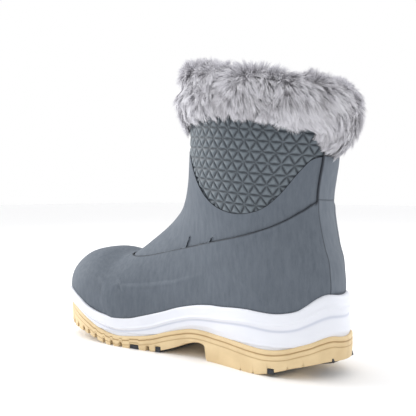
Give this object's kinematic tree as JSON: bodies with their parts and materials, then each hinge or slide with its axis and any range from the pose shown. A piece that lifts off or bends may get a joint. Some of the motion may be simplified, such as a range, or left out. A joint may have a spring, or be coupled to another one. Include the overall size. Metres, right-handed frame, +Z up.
{
  "type": "winter boot",
  "caption": "Short pull-on winter boot with a fur cuff, grey coated upper, relief shaft panel, white foam midsole and gum rubber outsole; the footbed lifts at the heel.",
  "frame": {"origin": "centre of the bounding box, on the ground", "axes": "+X towards the toe, +Y towards the wearer's left (the inner side of this right boot), +Z up"},
  "size_m": [0.287, 0.131, 0.2428],
  "materials": {
    "gum_rubber": "matte",
    "foam_white": "satin",
    "grip_rubber": "matte",
    "coated_grey": "matte",
    "relief_grey": "matte",
    "fur": "pile",
    "fleece": "pile",
    "neoprene": "matte",
    "board": "matte",
    "steel": "brushed",
    "felt": "matte",
    "foam_bed": "matte",
    "cloth": "matte"
  },
  "bodies": {
    "boot": {"outsole": "gum_rubber", "grip_bar_forefoot": "grip_rubber", "grip_bar_waist": "grip_rubber", "grip_bar_heel": "grip_rubber", "grip_plate_heel": "grip_rubber", "midsole": "foam_white", "shank": "steel", "bottom_filler": "felt", "insole_board": "board", "toe_puff": "felt", "heel_counter": "felt", "bootie": "neoprene", "fleece_lining": "fleece", "lower_shell": "coated_grey", "ankle_overlay": "coated_grey", "backstay_lower": "coated_grey", "backstay_upper": "coated_grey", "embossed_sleeve": "relief_grey", "cuff_backing": "cloth", "cuff_pile": "fur"},
    "footbed": {"footbed_foam": "foam_bed", "footbed_cover": "fleece"}
  },
  "joints": [
    {"name": "footbed_lift", "type": "hinge", "parent": "boot", "child": "footbed", "pos_m": [0.1135, 0, 0.0435], "axis": [0, 1, 0], "range_deg": [0, 10]}
  ]
}
